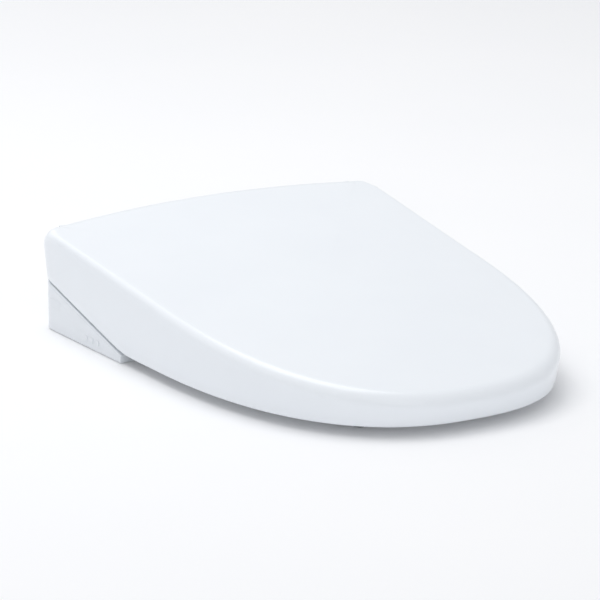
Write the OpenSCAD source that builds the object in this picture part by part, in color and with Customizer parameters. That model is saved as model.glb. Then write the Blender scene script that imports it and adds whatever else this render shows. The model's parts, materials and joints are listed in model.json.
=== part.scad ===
// Electric bidet seat for an elongated bowl: lid, heated ring and washing unit.
// Origin: midway between the two mounting bolts, on the rim of the bowl.
// X runs across the seat, -Y is the front, Z is up.

/* [Overall] */
// Length of the lid from its back edge to its front tip
lid_len = 530; // [490:1:560]
// Width of the lid where the bowl is widest
lid_width = 374; // [350:1:400]
// Extra width that the straight sides gain on their way back
flare = 9; // [0:0.5:16]
// How far the lid's back edge lies behind the mounting bolts
back_y = 54; // [45:1:70]
// Exponent of the lid's front curve: 2 is an ellipse, more is squarer
front_curve = 2.45; // [2:0.05:3.5]
// Share of the lid's length that lies in front of its widest place
widest = 0.583; // [0.5:0.001:0.65]
// How far the back edge bows out between its corners
back_bow = 8; // [0:0.5:14]
// Radius of the two back corners in plan
corner_r = 20; // [16:1:45]

/* [Lid] */
// Height of the lid's top edge at the back, above the rim
back_h = 107; // [95:1:125]
// Height of the lid's top edge at its front tip, above the rim
front_h = 41; // [36:1:50]
// Rise of the lid's middle above its edge
crown = 7; // [2:0.5:12]
// Wall of the lid
wall = 3; // [2.2:0.1:4]
// Height of the lid's skirt above the rim
skirt_z = 10; // [6:0.5:16]
// Thickness of the lid's inner panel
liner_t = 2; // [1.5:0.1:3]

/* [Seam between lid and unit] */
// Height of the seam at the back
seam_h = 57; // [45:1:65]
// Slope of the seam, in degrees
seam_fall = 15.7; // [10:0.1:22]
// Gap between the lid's edge and the unit
seam_gap = 2; // [1:0.1:4]

/* [Ring] */
// Length of the opening
open_len = 275; // [240:1:300]
// Width of the opening
open_w = 220; // [190:1:240]
// Width of the ring at its front
front_rim = 55; // [45:1:75]
// Height of the ring at its front
ring_h = 34; // [28:1:40]
// Rise of the ring towards the back, in degrees
ring_rise = 4; // [2:0.1:5]
// Gap between the ring and the lid's skirt
ring_gap = 2.5; // [1.5:0.1:5]
// Gap between the ring and the unit
unit_gap = 3; // [2:0.1:5]
// Height of the rubber feet under the ring
foot_h = 8; // [5:0.5:12]

/* [Hinge] */
// Distance of the hinge axis behind the bolts
hinge_y = 36; // [30:1:40]
// Height of the hinge axis
hinge_z = 88; // [84:0.5:92]
// Radius of the hinge pins
pin_r = 4; // [3:0.1:5]
// Radial clearance of every turning or sliding fit
fit = 0.05; // [0.02:0.01:0.1]
// How far a hinge tower stands in from the lid's widest side
tower_inset = 27; // [25:1:30]
// Width of a hinge tower
tower_w = 32; // [30:1:34]

/* [Unit] */
// Gap between the raised middle of the unit and a hinge tower
dome_gap = 28; // [26:1:38]
// Front face of the unit
dome_y = -104; // [-106:1:-98]
// Back face of the raised middle
dome_back = -2; // [-8:1:0]
// Wall of the unit's shells
shell = 2.5; // [2:0.1:3]
// Distance between the two mounting bolts
bolt_gap = 140; // [130:1:155]
// Radius of the bolt holes
bolt_r = 3.3; // [3:0.1:4.5]

/* [Nozzle] */
// Radius of the nozzle tube
wand_r = 6.5; // [5:0.1:7]
// Downward angle of the nozzle
wand_fall = 28; // [22:1:34]
// Travel of the nozzle
wand_travel = 85; // [60:1:88]
// Teeth of the drive pinion
pinion_teeth = 14; // [12:1:18]

/* [Shown] */
// Which piece to draw

/* [Hidden] */
$fn = 48;
hw = lid_width / 2;
front_y = back_y - lid_len;
wide_y = front_y + widest * lid_len;
lid_slope = (back_h - front_h) / lid_len;
lid_fall = atan(lid_slope);
tower_out = hw - tower_inset;
tower_x = tower_out - tower_w;
dome_x = tower_x - dome_gap;
base_w = bolt_gap / 2 + 25;
seam_slope = tan(seam_fall);
ring_slope = tan(ring_rise);
seam_end = back_y - (seam_h - skirt_z) / seam_slope;
case_front = dome_y - 9;
arc_n = 40;
white = [0.93, 0.94, 0.95];
cream = [0.86, 0.87, 0.88];
dark = [0.2, 0.21, 0.23];
metal = [0.7, 0.7, 0.72];

// ---- plan outlines ----
function clamp01(a) = min(1, max(0, a));
function unit(v) = v / norm(v);
function side_w(w, f, y) = w + f * (y - wide_y) / (back_y - wide_y);
// Clockwise D: front curve, left side, back corner, bowed back edge, back corner, right side
function d_plan(w, f, yf, yr, rc, bow, rows) =
  let (ye = yr - bow, xc = side_w(w, f, ye - rc) - rc)
  concat(
    [for (i = [0:arc_n]) let (t = 180 * i / arc_n)
      [w * sign(cos(t)) * pow(abs(cos(t)), 2 / front_curve),
       wide_y + (yf - wide_y) * pow(abs(sin(t)), 2 / front_curve)]],
    [for (y = rows) [-side_w(w, f, y), y]],
    [for (a = [180:-22.5:90]) [-xc + rc * cos(a), ye - rc + rc * sin(a)]],
    [for (k = [-3:3]) [xc * k / 4, yr - bow * pow(k / 4, 2)]],
    [for (a = [90:-22.5:0]) [xc + rc * cos(a), ye - rc + rc * sin(a)]],
    [for (j = [len(rows) - 1:-1:0]) [side_w(w, f, rows[j]), rows[j]]]);
function inward(P) = let (m = len(P))
  [for (i = [0:m - 1]) let (d = unit(P[(i + 1) % m] - P[(i + m - 1) % m])) [d.y, -d.x]];
// Rounds each corner of a plan polygon with its own radius
function spin2(v, a) = [v.x * cos(a) - v.y * sin(a), v.x * sin(a) + v.y * cos(a)];
function corner(a, b, c, r, n) = r == 0 ? [b] :
  let (u = unit(a - b), v = unit(c - b), h = acos(u * v) / 2, o = b + unit(u + v) * r / sin(h),
    s = b + u * r / tan(h) - o, e = b + v * r / tan(h) - o,
    w = (180 - 2 * h) * sign(s.x * e.y - s.y * e.x))
  [for (k = [0:n]) o + spin2(s, w * k / n)];
function rounded(P, R, n = 6) = let (m = len(P))
  [for (i = [0:m - 1]) each corner(P[(i + m - 1) % m], P[i], P[(i + 1) % m], R[i], n)];

lid_rows = [-140, seam_end, -75, -35, 0];
lid_out = d_plan(hw, flare / 2, front_y, back_y, corner_r, back_bow, lid_rows);
lid_in = inward(lid_out);
ni = len(lid_out);
all_i = [0:ni - 1];
lid_mid = [0, wide_y - 30];

// ---- lid surfaces ----
function edge_ratio(p) = let (s = clamp01((wide_y - p.y) / (wide_y - front_y)))
  pow(pow(abs(p.x) / side_w(hw, flare / 2, max(p.y, wide_y)), front_curve)
    + pow(s, front_curve), 1 / front_curve);
function lid_top(p) = back_h - lid_slope * (back_y - p.y) + crown * (1 - pow(min(1, edge_ratio(p)), 2));
function lid_low(y) = max(skirt_z, seam_h + seam_gap / 2 - seam_slope * (back_y - y));
function edge_r(y) = 6 + 16 * clamp01((y - back_y + 40) / 32) + 6 * clamp01(-y / 470);
function draft(y) = 3 + 2 * pow(clamp01((wide_y - y) / (wide_y - front_y)), 1.5);
function edge_ring(a, t) = [for (i = all_i) let (r = max(edge_r(lid_out[i].y) - t, 2),
  q = lid_out[i] + lid_in[i] * (t + r * (1 - cos(a)))) [q.x, q.y, lid_top(q) - t - r * (1 - sin(a))]];
function skirt_ring(d, z) = [for (i = all_i) let (y = lid_out[i].y,
  q = lid_out[i] + lid_in[i] * (draft(y) + d)) [q.x, q.y, lid_low(y) + z]];
function panel_ring(s, t) = [for (i = all_i) let (y = lid_out[i].y,
  p = lid_out[i] + lid_in[i] * (wall + max(edge_r(y) - wall, 2)), q = lid_mid + s * (p - lid_mid))
  [q.x, q.y, lid_top(q) - t]];
function cap(t) = [lid_mid.x, lid_mid.y, lid_top(lid_mid) - t];

// Closed skin through a list of rings, each with the same number of points.
// Two caps close its ends; without them the last ring joins the first.
// flip turns the diagonals, so that a layer's facets match those of the skin above it.
module skin(R, caps = [], flip = false) {
  m = len(R[0]);
  n = len(R);
  last = len(caps) == 2 ? n - 2 : n - 1;
  polyhedron(
    points = concat([for (r = R) each r], caps),
    faces = concat(
      [for (k = [0:last], i = [0:m - 1])
        let (j = (i + 1) % m, up = ((k + 1) % n) * m, a = k * m + i, b = up + i, c = up + j, d = k * m + j)
        each flip ? [[a, b, d], [b, c, d]] : [[a, b, c], [a, c, d]]],
      len(caps) == 2 ? [for (i = [0:m - 1]) [n * m, i, (i + 1) % m]] : [],
      len(caps) == 2 ? [for (i = [0:m - 1]) [n * m + 1, (n - 1) * m + (i + 1) % m, (n - 1) * m + i]] : []),
    convexity = 10);
}
// Prism along X from a side-view polygon, and along Y from a front-view polygon
module side_prism(x0, x1, P) {
  translate([x0, 0, 0]) rotate([90, 0, 90]) linear_extrude(x1 - x0) polygon(P);
}
module bar_x(x0, x1, y, z, r) { translate([x0, y, z]) rotate([0, 90, 0]) cylinder(r = r, h = x1 - x0); }
module bar_y(y0, y1, x, z, r) { translate([x, y0, z]) rotate([-90, 0, 0]) cylinder(r = r, h = y1 - y0); }
module bar_z(z0, z1, x, y, r) { translate([x, y, z0]) cylinder(r = r, h = z1 - z0); }
module box(a, b) { translate(a) cube(b - a); }
module both() { children(); mirror([1, 0, 0]) children(); }

// ---- lid ----
notch_in = dome_x + 9;
notch_out = tower_out + 2;
ear_in = tower_out + 3;
ear_out = ear_in + 7;
module lid_shell() color(white) difference() {
  union() {
    skin([panel_ring(0.28, 0), panel_ring(0.55, 0), panel_ring(0.86, 0),
      for (a = [90:-22.5:0]) edge_ring(a, 0),
      skirt_ring(0, 7), skirt_ring(1.2, 2), skirt_ring(3.2, 0), skirt_ring(4.8, 0.6),
      skirt_ring(5.4, 2.6), skirt_ring(wall, 9),
      for (a = [0:45:90]) edge_ring(a, wall),
      panel_ring(0.86, wall), panel_ring(0.55, wall), panel_ring(0.28, wall)], [cap(0), cap(wall)]);
    both() {
      bar_x(ear_in, ear_out, hinge_y, hinge_z, 9);
      box([ear_in, hinge_y - 7, hinge_z], [ear_out, hinge_y + 2, back_h - 3.7]);
    }
  }
  both() {
    box([notch_in, hinge_y - 8, 40], [notch_out, back_y + 6, hinge_z + 13]);
    bar_x(ear_in - 1, ear_out + 1, hinge_y, hinge_z, pin_r);
  }
}
panel_s = [0.28, 0.55, 0.86];
glue = 0.1;
liner_end = wall + glue + liner_t;
module lid_liner() color(cream)
  skin([for (s = panel_s) panel_ring(s, wall + glue), for (k = [2:-1:0]) panel_ring(panel_s[k], liner_end)],
    [cap(wall + glue), cap(liner_end)], true);
// Rubber pads that hold the closed lid just off the ring
bumper_at = [[dome_x + 25, -70], [75, front_y + 81]];
module lid_bumpers() color(dark) both() for (p = bumper_at)
  translate([p.x, p.y, lid_top(p) - liner_end - 0.35]) rotate([lid_fall, 0, 0]) mirror([0, 0, 1])
    cylinder(r = 6, h = lid_top(p) - liner_end - ring_top(p) - 1.2);
module lid_hinge_pins() color(metal) both() bar_x(ear_in - 15, ear_out, hinge_y, hinge_z, pin_r);

// ---- ring ----
lip = 8.4;
ring_w = hw - lip - ring_gap;
ring_front = front_y + 10.4 + ring_gap;
ring_back = -12;
ring_r = 14;
open_front = ring_front + front_rim;
open_back = open_front + open_len;
open_mid = open_front + open_len * 0.56;
wing_in = dome_x + unit_gap + 1;
bridge_y = dome_y - unit_gap;
bridge_z = 32;
bridge_x = 70;
ring_out = d_plan(ring_w, 1, ring_front, ring_back, 25, 0, [-140, -125, -100, -75, -50]);
ring_in = inward(ring_out);
hole = [for (i = all_i) let (t = i <= arc_n ? 180 * i / arc_n : 180 + 180 * (i - arc_n) / (ni - arc_n),
  far = sin(t) >= 0 ? open_front : open_back)
  [open_w / 2 * sign(cos(t)) * pow(abs(cos(t)), 2 / 2.25),
   open_mid + (far - open_mid) * pow(abs(sin(t)), 2 / 2.25)]];
hole_in = inward(hole);
function ring_dip(p) = 4 * clamp01((-p.y - 150) / 80);
function ring_top(p) = ring_h + ring_slope * (p.y - ring_front);
function ring_low(y) = max(foot_h, seam_h + 1.5 - seam_slope * (back_y - y));
function out_at(i, d) = ring_out[i] + ring_in[i] * d;
function hole_at(i, d) = hole[i] - hole_in[i] * d;
function side_ring(d, f) = [for (i = all_i) let (q = out_at(i, d), z = ring_top(q) - ring_r)
  [q.x, q.y, ring_low(ring_out[i].y) * (1 - f) + z * f]];
function hole_ring(d, f) = [for (i = all_i) let (q = hole_at(i, d), z = ring_top(q) - ring_dip(q) - 10)
  [q.x, q.y, ring_low(hole[i].y) * (1 - f) + z * f]];
function out_edge(a, t) = [for (i = all_i) let (r = ring_r - t, q = out_at(i, t + r * (1 - cos(a))))
  [q.x, q.y, ring_top(q) - t - r * (1 - sin(a))]];
function hole_edge(a, t) = [for (i = all_i) let (r = 10 - t, q = hole_at(i, t + r * (1 - cos(a))))
  [q.x, q.y, ring_top(q) - ring_dip(q) - t - r * (1 - sin(a))]];
function mid_ring(u, t) = [for (i = all_i)
  let (a = hole_at(i, 10), b = out_at(i, ring_r), q = a + (b - a) * u)
  [q.x, q.y, ring_top(q) - ring_dip(q) * (1 - u) * (1 - u) - t]];
module dome_room(d) {
  box([-wing_in - d, bridge_y - d, -5], [wing_in + d, 20, 120]);
}
arm_in = dome_x + 12;
arm_out = tower_x - 4;
module seat_top_shell() color(white) difference() {
  union() {
    difference() {
      skin([hole_ring(0, 0), hole_ring(0, 0.5), for (a = [0:30:90]) hole_edge(a, 0),
        mid_ring(0.33, 0), mid_ring(0.67, 0), for (a = [90:-22.5:0]) out_edge(a, 0),
        side_ring(0, 0.5), side_ring(0, 0), side_ring(wall, 0),
        for (a = [0:45:90]) out_edge(a, wall),
        mid_ring(0.67, wall), mid_ring(0.33, wall), for (a = [90:-45:0]) hole_edge(a, wall),
        hole_ring(wall, 0)]);
      dome_room(0);
      box([-bridge_x, bridge_y - 60, -5], [bridge_x, 0, bridge_z]);
    }
    // walls that close the ring towards the unit
    box([-wing_in - 1, bridge_y - wall, bridge_z], [wing_in + 1, bridge_y, ring_top([0, bridge_y]) - 1.2]);
    both() {
      side_prism(wing_in, wing_in + wall, [[bridge_y - wall, ring_low(bridge_y)],
        [bridge_y - wall, ring_top([0, bridge_y]) - 1.2],
        [ring_back - 14, ring_top([0, ring_back - 14]) - 1.2],
        [ring_back - 4, ring_top([0, ring_back]) - 6], [ring_back, ring_top([0, ring_back]) - 14],
        [ring_back, ring_low(ring_back)]]);
      box([bridge_x, bridge_y - wall, ring_low(bridge_y - wall)], [wing_in + 1, bridge_y, bridge_z + 1]);
      side_prism(arm_in, arm_out, [[hinge_y, hinge_z + 10], [hinge_y - 26, hinge_z - 2],
        [-22, 60], [-22, 48], [-9, 47], [hinge_y, hinge_z - 10]]);
      bar_x(arm_in, arm_out, hinge_y, hinge_z, 10);
    }
  }
  both() bar_x(arm_in - 1, arm_out + 1, hinge_y, hinge_z, pin_r);
}
module seat_base_shell() color(cream) difference() {
  skin([
    for (z = [0, 2]) [for (i = all_i) let (q = hole_at(i, wall + 0.2)) [q.x, q.y, ring_low(hole[i].y) + z]],
    for (z = [2, 0]) [for (i = all_i) let (q = out_at(i, wall + 0.2)) [q.x, q.y, ring_low(ring_out[i].y) + z]]
  ]);
  dome_room(wall + 0.2);
  box([-bridge_x - 1, bridge_y - 60, -5], [bridge_x + 1, 0, 30]);
}
module seat_heater_mat() color([0.75, 0.45, 0.25]) difference() {
  skin([mid_ring(0.33, wall + glue), mid_ring(0.67, wall + glue),
    mid_ring(0.67, wall + 1), mid_ring(0.33, wall + 1)], [], true);
  dome_room(wall + 1);
}
seat_foot_at = [[hw - 45, -165], [80, front_y + 79]];
module seat_feet() color(dark) both() for (p = seat_foot_at)
  difference() {
    translate([p.x, p.y, 0]) rotate([0, 0, p.y < wide_y ? -35 : 84]) linear_extrude(foot_h)
      polygon(rounded([[-16, -6], [16, -6], [16, 6], [-16, 6]], [5, 5, 5, 5]));
    translate([p.x, p.y, -1]) cylinder(r = 2, h = 3);
  }
module seat_hinge_pins() color(metal) both() bar_x(arm_in, tower_x + 14, hinge_y, hinge_z, pin_r);

// ---- unit: case ----
function case_pts(d) = [for (i = all_i) if (lid_out[i].y > case_front - 1.1) lid_out[i] + lid_in[i] * d];
function seam_y(y) = seam_h - seam_gap / 2 - seam_slope * (back_y - y);
function dome_top(y) = back_h - 3.5 - lid_slope * (back_y - y);
module case_solid(d, lift, z0, y0) intersection() {
  translate([0, 0, z0]) linear_extrude(70) polygon(case_pts(d));
  side_prism(-hw - 13, hw + 13, [[y0, z0], [y0, seam_y(y0) + lift], [60, seam_y(60) + lift], [60, z0]]);
}
module dome(d, low) intersection() {
  side_prism(d - dome_x, dome_x - d, rounded([[dome_y + d, low], [dome_y + d, dome_top(dome_y) - d],
    [dome_back - d, dome_top(dome_back) - d], [dome_back - d, low]], [0, 12 - d, 8, 0]));
  translate([0, back_y, back_h - 3.5]) rotate([lid_fall, 0, 0]) translate([0, 20, 0]) rotate([90, 0, 0])
    linear_extrude(230) polygon(rounded([[d - dome_x, -130], [d - dome_x, -d], [dome_x - d, -d],
      [dome_x - d, -130]], [0, 16 - d, 16 - d, 0]));
}
tower_front = ring_back + 6;
// Wand frame: +Y runs up the tube from its tip, +Z is square to it
tip_y = -112;
tip_z = 14;
wand_len = 113;
module wand_frame() { translate([0, tip_y, tip_z]) rotate([wand_fall, 0, 0]) children(); }
pitch_r = pinion_teeth / 2;
rack_x = wand_r + 2.75;
pinion_x = rack_x + pitch_r + 0.2;
pinion_s = 23;
plate_z = 0.5 - wand_r;
screw_x = base_w + 11.5;
screw_at = [[hw - 37, -78], [hw - 23, 22], [screw_x, 34]];
inlet_x = screw_x + 15.5;
gland_x = screw_x + 18.5;
function screw_top(p) = seam_y(p.y) - shell;
dry_x0 = 43;
dry_x1 = 69;
fan_y = -62;
fan_z = 56;
fan_r = 24;
flap_y = dome_y + 4;
flap_z = 25.5;
case_in = 3.5;
module lower_case() color(white) difference() {
  union() {
    difference() {
      case_solid(case_in, -shell - 0.15, 1, case_front);
      difference() {
        case_solid(case_in + shell, 20, 3.5, case_front + shell);
        box([-base_w - 4.5, -39.5, 0], [base_w + 4.5, 39.5, 8]);
      }
    }
    both() {
      box([20, case_front + 1, 1], [22.5, dome_y - 0.2, seam_y(case_front) - 3]);
      for (p = screw_at) bar_z(2, 6.5, p.x, p.y, 5);
    }
    // rails under the filter drawer and the bearing of the drain knob
    box([hw - 37, -56, 3], [hw - 5, -25, 5.95]);
    bar_x(hw - 15, hw - 3, 8, 18, 7);
    box([hw - 12, 3, 3], [hw - 3, 13, 12]);
    box([hw - 21, -91, 3], [hw - 7, -71, 4.95]);
  }
  box([-base_w - 2, -37, -1], [base_w + 2, 37, 5.5]);
  box([-20, case_front - 2, -1], [20, dome_y + 12, 30]);
  both() for (p = screw_at) {
    bar_z(0, 8, p.x, p.y, 1.4);
    bar_z(0, 2.4, p.x, p.y, 3.3);
  }
  both() for (p = case_foot_at) bar_z(0, 1.8, p.x, p.y, 7.1);
  // openings for the water inlet, the cable gland and the side controls
  bar_y(back_y - 18, back_y + 6, -inlet_x, 15, 15.5);
  bar_y(back_y - 18, back_y + 6, gland_x, 18, 6.05);
  box([hw - 9, -52.05, 5.95], [hw + 13, -27.95, 18.05]);
  bar_x(hw - 22, hw + 13, 8, 18, pin_r + fit);
  box([hw - 22, -88 - fit, 5 - fit], [hw + 13, -74 + fit, 10.5 + fit]);
  box([-hw - 13, -80, 5.5], [-hw + 7, -34, 14]);
  box([-hw - 13, 8, 24], [-hw + 9, 32, 34]);
}
module tower(d) {
  side_prism(tower_x + d, tower_out - d, [[tower_front + d, seam_y(tower_front) - 1],
    [tower_front + d, 88 - d], [tower_front + d + 3, 91.5 - d], [24, hinge_z + 8.5 - d],
    [hinge_y, hinge_z + 11 - d], [hinge_y, hinge_z - 8 + d], [20 - d, hinge_z - 8 + d],
    [20 - d, seam_y(20) - 1]]);
}
module upper_cover() color(white) difference() {
  union() {
    difference() {
      case_solid(case_in, 0, 1, case_front);
      side_prism(-hw - 23, hw + 23,
        [[-130, -1], [-130, seam_y(-130) - shell], [70, seam_y(70) - shell], [70, -1]]);
    }
    dome(0, 8.1);
    both() {
      tower(0);
      bar_x(tower_x, tower_out, hinge_y, hinge_z, 11);
      for (p = screw_at) bar_z(6.6, seam_y(p.y) - 1, p.x, p.y, 4);
    }
  }
  dome(shell, -2);
  both() {
    box([tower_x + shell, tower_front + shell, 30], [tower_out - shell, 17.5, 87]);
    bar_x(tower_x - 1, tower_out + 1, hinge_y, hinge_z, pin_r + fit);
    for (p = screw_at) bar_z(0, 16, p.x, p.y, 1.25);
  }
  box([-20, -125, -1], [20, dome_y, 30]);
  box([-14, dome_y - 1, 0], [14, dome_y + 4, 28.5]);
  bar_y(-8, 2, -88, 14, 3.3);
  box([dry_x0 + 1.5, dome_y - 1, 11.8], [dry_x1 - 1.5, dome_y + 4, 28]);
  box([-72.1, dome_y - 1, 13.9], [-55.9, dome_y + 1.6, 20.1]);
  for (k = [0:2]) translate([-84 + 8 * k, -60, 60]) cylinder(r = 1.6, h = 60);
  box([40, -52, 60], [64, -40, 86]);
}
module base_plate() color(metal) difference() {
  side_prism(-base_w, base_w, rounded([[-35, 0], [-35, 5.3], [35, 5.3], [35, 0]], [0, 1.5, 1.5, 0]));
  for (x = [-bolt_gap / 2, bolt_gap / 2]) box([x - 10, -16, -1], [x + 10, 16, 7]);
  box([-40, -22, 2.5], [40, 22, 7]);
}
module bolt_adapters() color(dark) both() difference() {
  box([bolt_gap / 2 - 10, -16, 0], [bolt_gap / 2 + 10, 16, 5.3]);
  bar_z(-1, 7, bolt_gap / 2, 0, bolt_r);
  bar_z(3.5, 7, bolt_gap / 2, 0, 7);
}
case_foot_at = [[hw - 22, -60], [hw - 47, 10]];
module case_feet() color(dark) both() for (p = case_foot_at) bar_z(0, 1.8, p.x, p.y, 7);
module case_screws() color(metal) both() for (p = screw_at) difference() {
  union() {
    bar_z(1.1, 2.4, p.x, p.y, 3.1);
    bar_z(2.3, 15, p.x, p.y, 1.25);
  }
  translate([p.x, p.y, 0.5]) cylinder(r = 1.2, h = 1.4, $fn = 6);
}

// ---- unit: hinge drives ----
module hinge_drive() {
  box([tower_x + shell, tower_front + shell, 52], [tower_out - shell, 17.5, 87]);
  bar_z(14, 52.5, tower_x + tower_w / 2, 7, 8);
  bar_z(12, 14, tower_x + tower_w / 2, 7, 3);
  bar_z(3.5, 12, tower_x + tower_w / 2, 7, 8);
}
module lid_drive_unit() color(cream) hinge_drive();
module seat_drive_unit() color(cream) mirror([1, 0, 0]) hinge_drive();

// ---- unit: nozzle ----
module nozzle_housing() color(cream) difference() {
  union() {
    wand_frame() {
      bar_y(18, 62, 0, 0, wand_r + 2.5);
      box([0, 15, plate_z], [pinion_x + 9.65, 34, plate_z + 1.5]);
    }
    difference() {
      box([-3, -86, 3.5], [3, -62, 34]);
      wand_frame() box([-20, -20, plate_z], [20, 90, 60]);
    }
  }
  wand_frame() {
    bar_y(-20, 90, 0, 0, wand_r + fit);
    box([0, 0, -3], [wand_r + 6.5, 70, 3]);
    bar_z(-8, 0, pinion_x, pinion_s, 1.8);
  }
}
module nozzle_bezel() color(cream) difference() {
  box([-15.5, dome_y - 1.5, 3.7], [15.5, dome_y, 30]);
  wand_frame() bar_y(-20, 40, 0, 0, wand_r + 0.8);
  wand_frame() box([0, -20, -3.2], [wand_r + 5, 40, 3.2]);
}
module wand_motor() color(metal) wand_frame() {
  bar_z(plate_z - 8, plate_z, pinion_x, pinion_s, 9.3);
  bar_z(plate_z - 8, 3.5, pinion_x, pinion_s, 1.5);
}
module wand_tube() color([0.8, 0.82, 0.84]) wand_frame() difference() {
  bar_y(14, wand_len, 0, 0, wand_r);
  bar_y(60, wand_len + 1, 0, 0, 3.5);
}
module nozzle_tip() color(white) wand_frame() difference() {
  translate([0, 14, 0]) rotate([90, 0, 0]) rotate_extrude()
    polygon(concat([[0, 0], [wand_r, 0]],
      [for (a = [0:15:90]) [wand_r - 4 + 4 * cos(a), 15 + 4 * sin(a)]], [[0, 19]]));
  for (y = [2, 6.5]) translate([0, y, 3]) cylinder(r = 0.7, h = 6);
}
rack_n = 30;
module wand_rack() color(cream) wand_frame() difference() {
  translate([rack_x, 0, -2.5]) linear_extrude(5) polygon(concat(
    [[-4.25, 15], [-1.25, 15]],
    [for (k = [0:rack_n - 1]) for (q = [[-1.25, 0.62], [1, 1.21], [1, 1.93], [-1.25, 2.52]])
      [q.x, 15.6 + PI * k + q.y]],
    [[-1.25, wand_len - 1], [-4.25, wand_len - 1]]));
  bar_y(0, 130, 0, 0, wand_r);
}
module wand_pinion() color(cream) wand_frame() translate([pinion_x, pinion_s, -2.5]) difference() {
  linear_extrude(5) union() {
    circle(r = pitch_r - 1.25);
    for (k = [0:pinion_teeth - 1]) rotate(180 + (k + pinion_phase) * 360 / pinion_teeth)
      polygon([[pitch_r - 2, -1.2], [pitch_r - 1.25, -1.1], [pitch_r, -0.72], [pitch_r + 0.95, -0.3],
        [pitch_r + 0.95, 0.3], [pitch_r, 0.72], [pitch_r - 1.25, 1.1], [pitch_r - 2, 1.2]]);
  }
  translate([0, 0, -1]) cylinder(r = 1.5 + fit, h = 7);
}
// A pinion tooth points at a gap of the rack beside it
pinion_phase = (pinion_s - 15.6) / PI - floor((pinion_s - 15.6) / PI);
module wand_hose() color(dark) {
  translate([-14, -30, 58]) rotate([0, 90, 0]) rotate_extrude(angle = 180) translate([11, 0]) circle(r = 2);
}

// ---- unit: water ----
module heater_tank() color(metal) {
  translate([-92, -36, 8]) linear_extrude(44)
    polygon(rounded([[0, 0], [50, 0], [50, 28], [0, 28]], [6, 6, 6, 6]));
}
module vacuum_breaker() color(cream) { bar_z(52, 74, -78, -22, 8); bar_z(74, 80, -78, -22, 5); }
module inlet_valve() color(cream) box([-inlet_x - 12, -2, 3.5], [-inlet_x + 12, 26, 22]);
module solenoid_coil() color(dark) bar_z(22, 35, -inlet_x, 12, 8);
module water_inlet() color(metal) difference() {
  union() {
    bar_y(26, back_y - 12, -inlet_x, 15, 8);
    bar_y(back_y - 16, back_y - 13, -inlet_x, 15, 11);
    bar_y(back_y - 14, back_y - 1, -inlet_x, 15, 10.4);
  }
  bar_y(30, 60, -inlet_x, 15, 6);
}
module flow_sensor() color(dark) { bar_x(-inlet_x + 12, -84, 4, 14, 6); }
module inlet_hose() color(cream) bar_y(-8, -2, -88, 14, 3);
module switching_valve() color(cream) { bar_z(8, 30, -26, -24, 10); bar_z(18, 24, -26, -24, 12); }
module valve_motor() color(metal) bar_z(30, 44, -26, -24, 9);

// ---- unit: dryer ----
module dryer_fan_housing() color(dark) difference() {
  bar_x(dry_x0, dry_x1, fan_y, fan_z, fan_r);
  bar_x(dry_x0 + 1.5, dry_x1 - 1.5, fan_y, fan_z, fan_r - 2);
  bar_x(dry_x1 - 3, dry_x1 + 1, fan_y, fan_z, 10);
  bar_x(dry_x0 - 1, dry_x0 + 3, fan_y, fan_z, 2);
  box([dry_x0 + 1.5, -84.5, 30], [dry_x1 - 1.5, -71.5, fan_z - 10]);
}
module dryer_impeller() color(cream) difference() {
  union() {
    bar_x(dry_x0 + 3, dry_x0 + 4.5, fan_y, fan_z, 19);
    bar_x(dry_x0 + 3, dry_x0 + 18, fan_y, fan_z, 4);
    for (k = [0:11]) translate([dry_x0 + 4, fan_y, fan_z]) rotate([30 * k, 0, 0])
      box([0, 13, -0.6], [14, 19, 0.6]);
  }
  bar_x(dry_x0, dry_x0 + 20, fan_y, fan_z, 1.5 + fit);
}
module dryer_motor() color(metal) {
  bar_x(28, dry_x0, fan_y, fan_z, 12);
  bar_x(dry_x0 - 1, dry_x0 + 20, fan_y, fan_z, 1.5);
}
module dryer_duct() color(dark) difference() {
  union() {
    box([dry_x0, -86, 10.5], [dry_x1, -70, 48]);
    box([dry_x0, dome_y + shell, 10.5], [dry_x1, -80, 29.5]);
    box([50, -80, 3.5], [62, -76, 11]);
  }
  bar_x(dry_x0 - 1, dry_x1 + 1, fan_y, fan_z, fan_r);
  box([dry_x0 + 2, -84.5, 12], [dry_x1 - 2, -71.5, 60]);
  box([dry_x0 + 2, dome_y - 1, 12], [dry_x1 - 2, -80, 28]);
  bar_x(dry_x0 + 0.5, dry_x1 - 0.5, flap_y, flap_z, 1 + fit);
}
module dryer_heater() color([0.6, 0.35, 0.2]) difference() {
  box([dry_x0 + 2, -84.5, 30], [dry_x1 - 2, -71.5, 37]);
  for (k = [0:4]) box([dry_x0 + 3.2 + 4 * k, -83.5, 29], [dry_x0 + 6 + 4 * k, -72.5, 38]);
}
module dryer_flap() color(white) {
  box([dry_x0 + 2.2, flap_y - 0.75, 12.4], [dry_x1 - 2.2, flap_y + 0.75, flap_z]);
  bar_x(dry_x0 + 0.8, dry_x1 - 0.8, flap_y, flap_z, 1);
}

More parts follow.
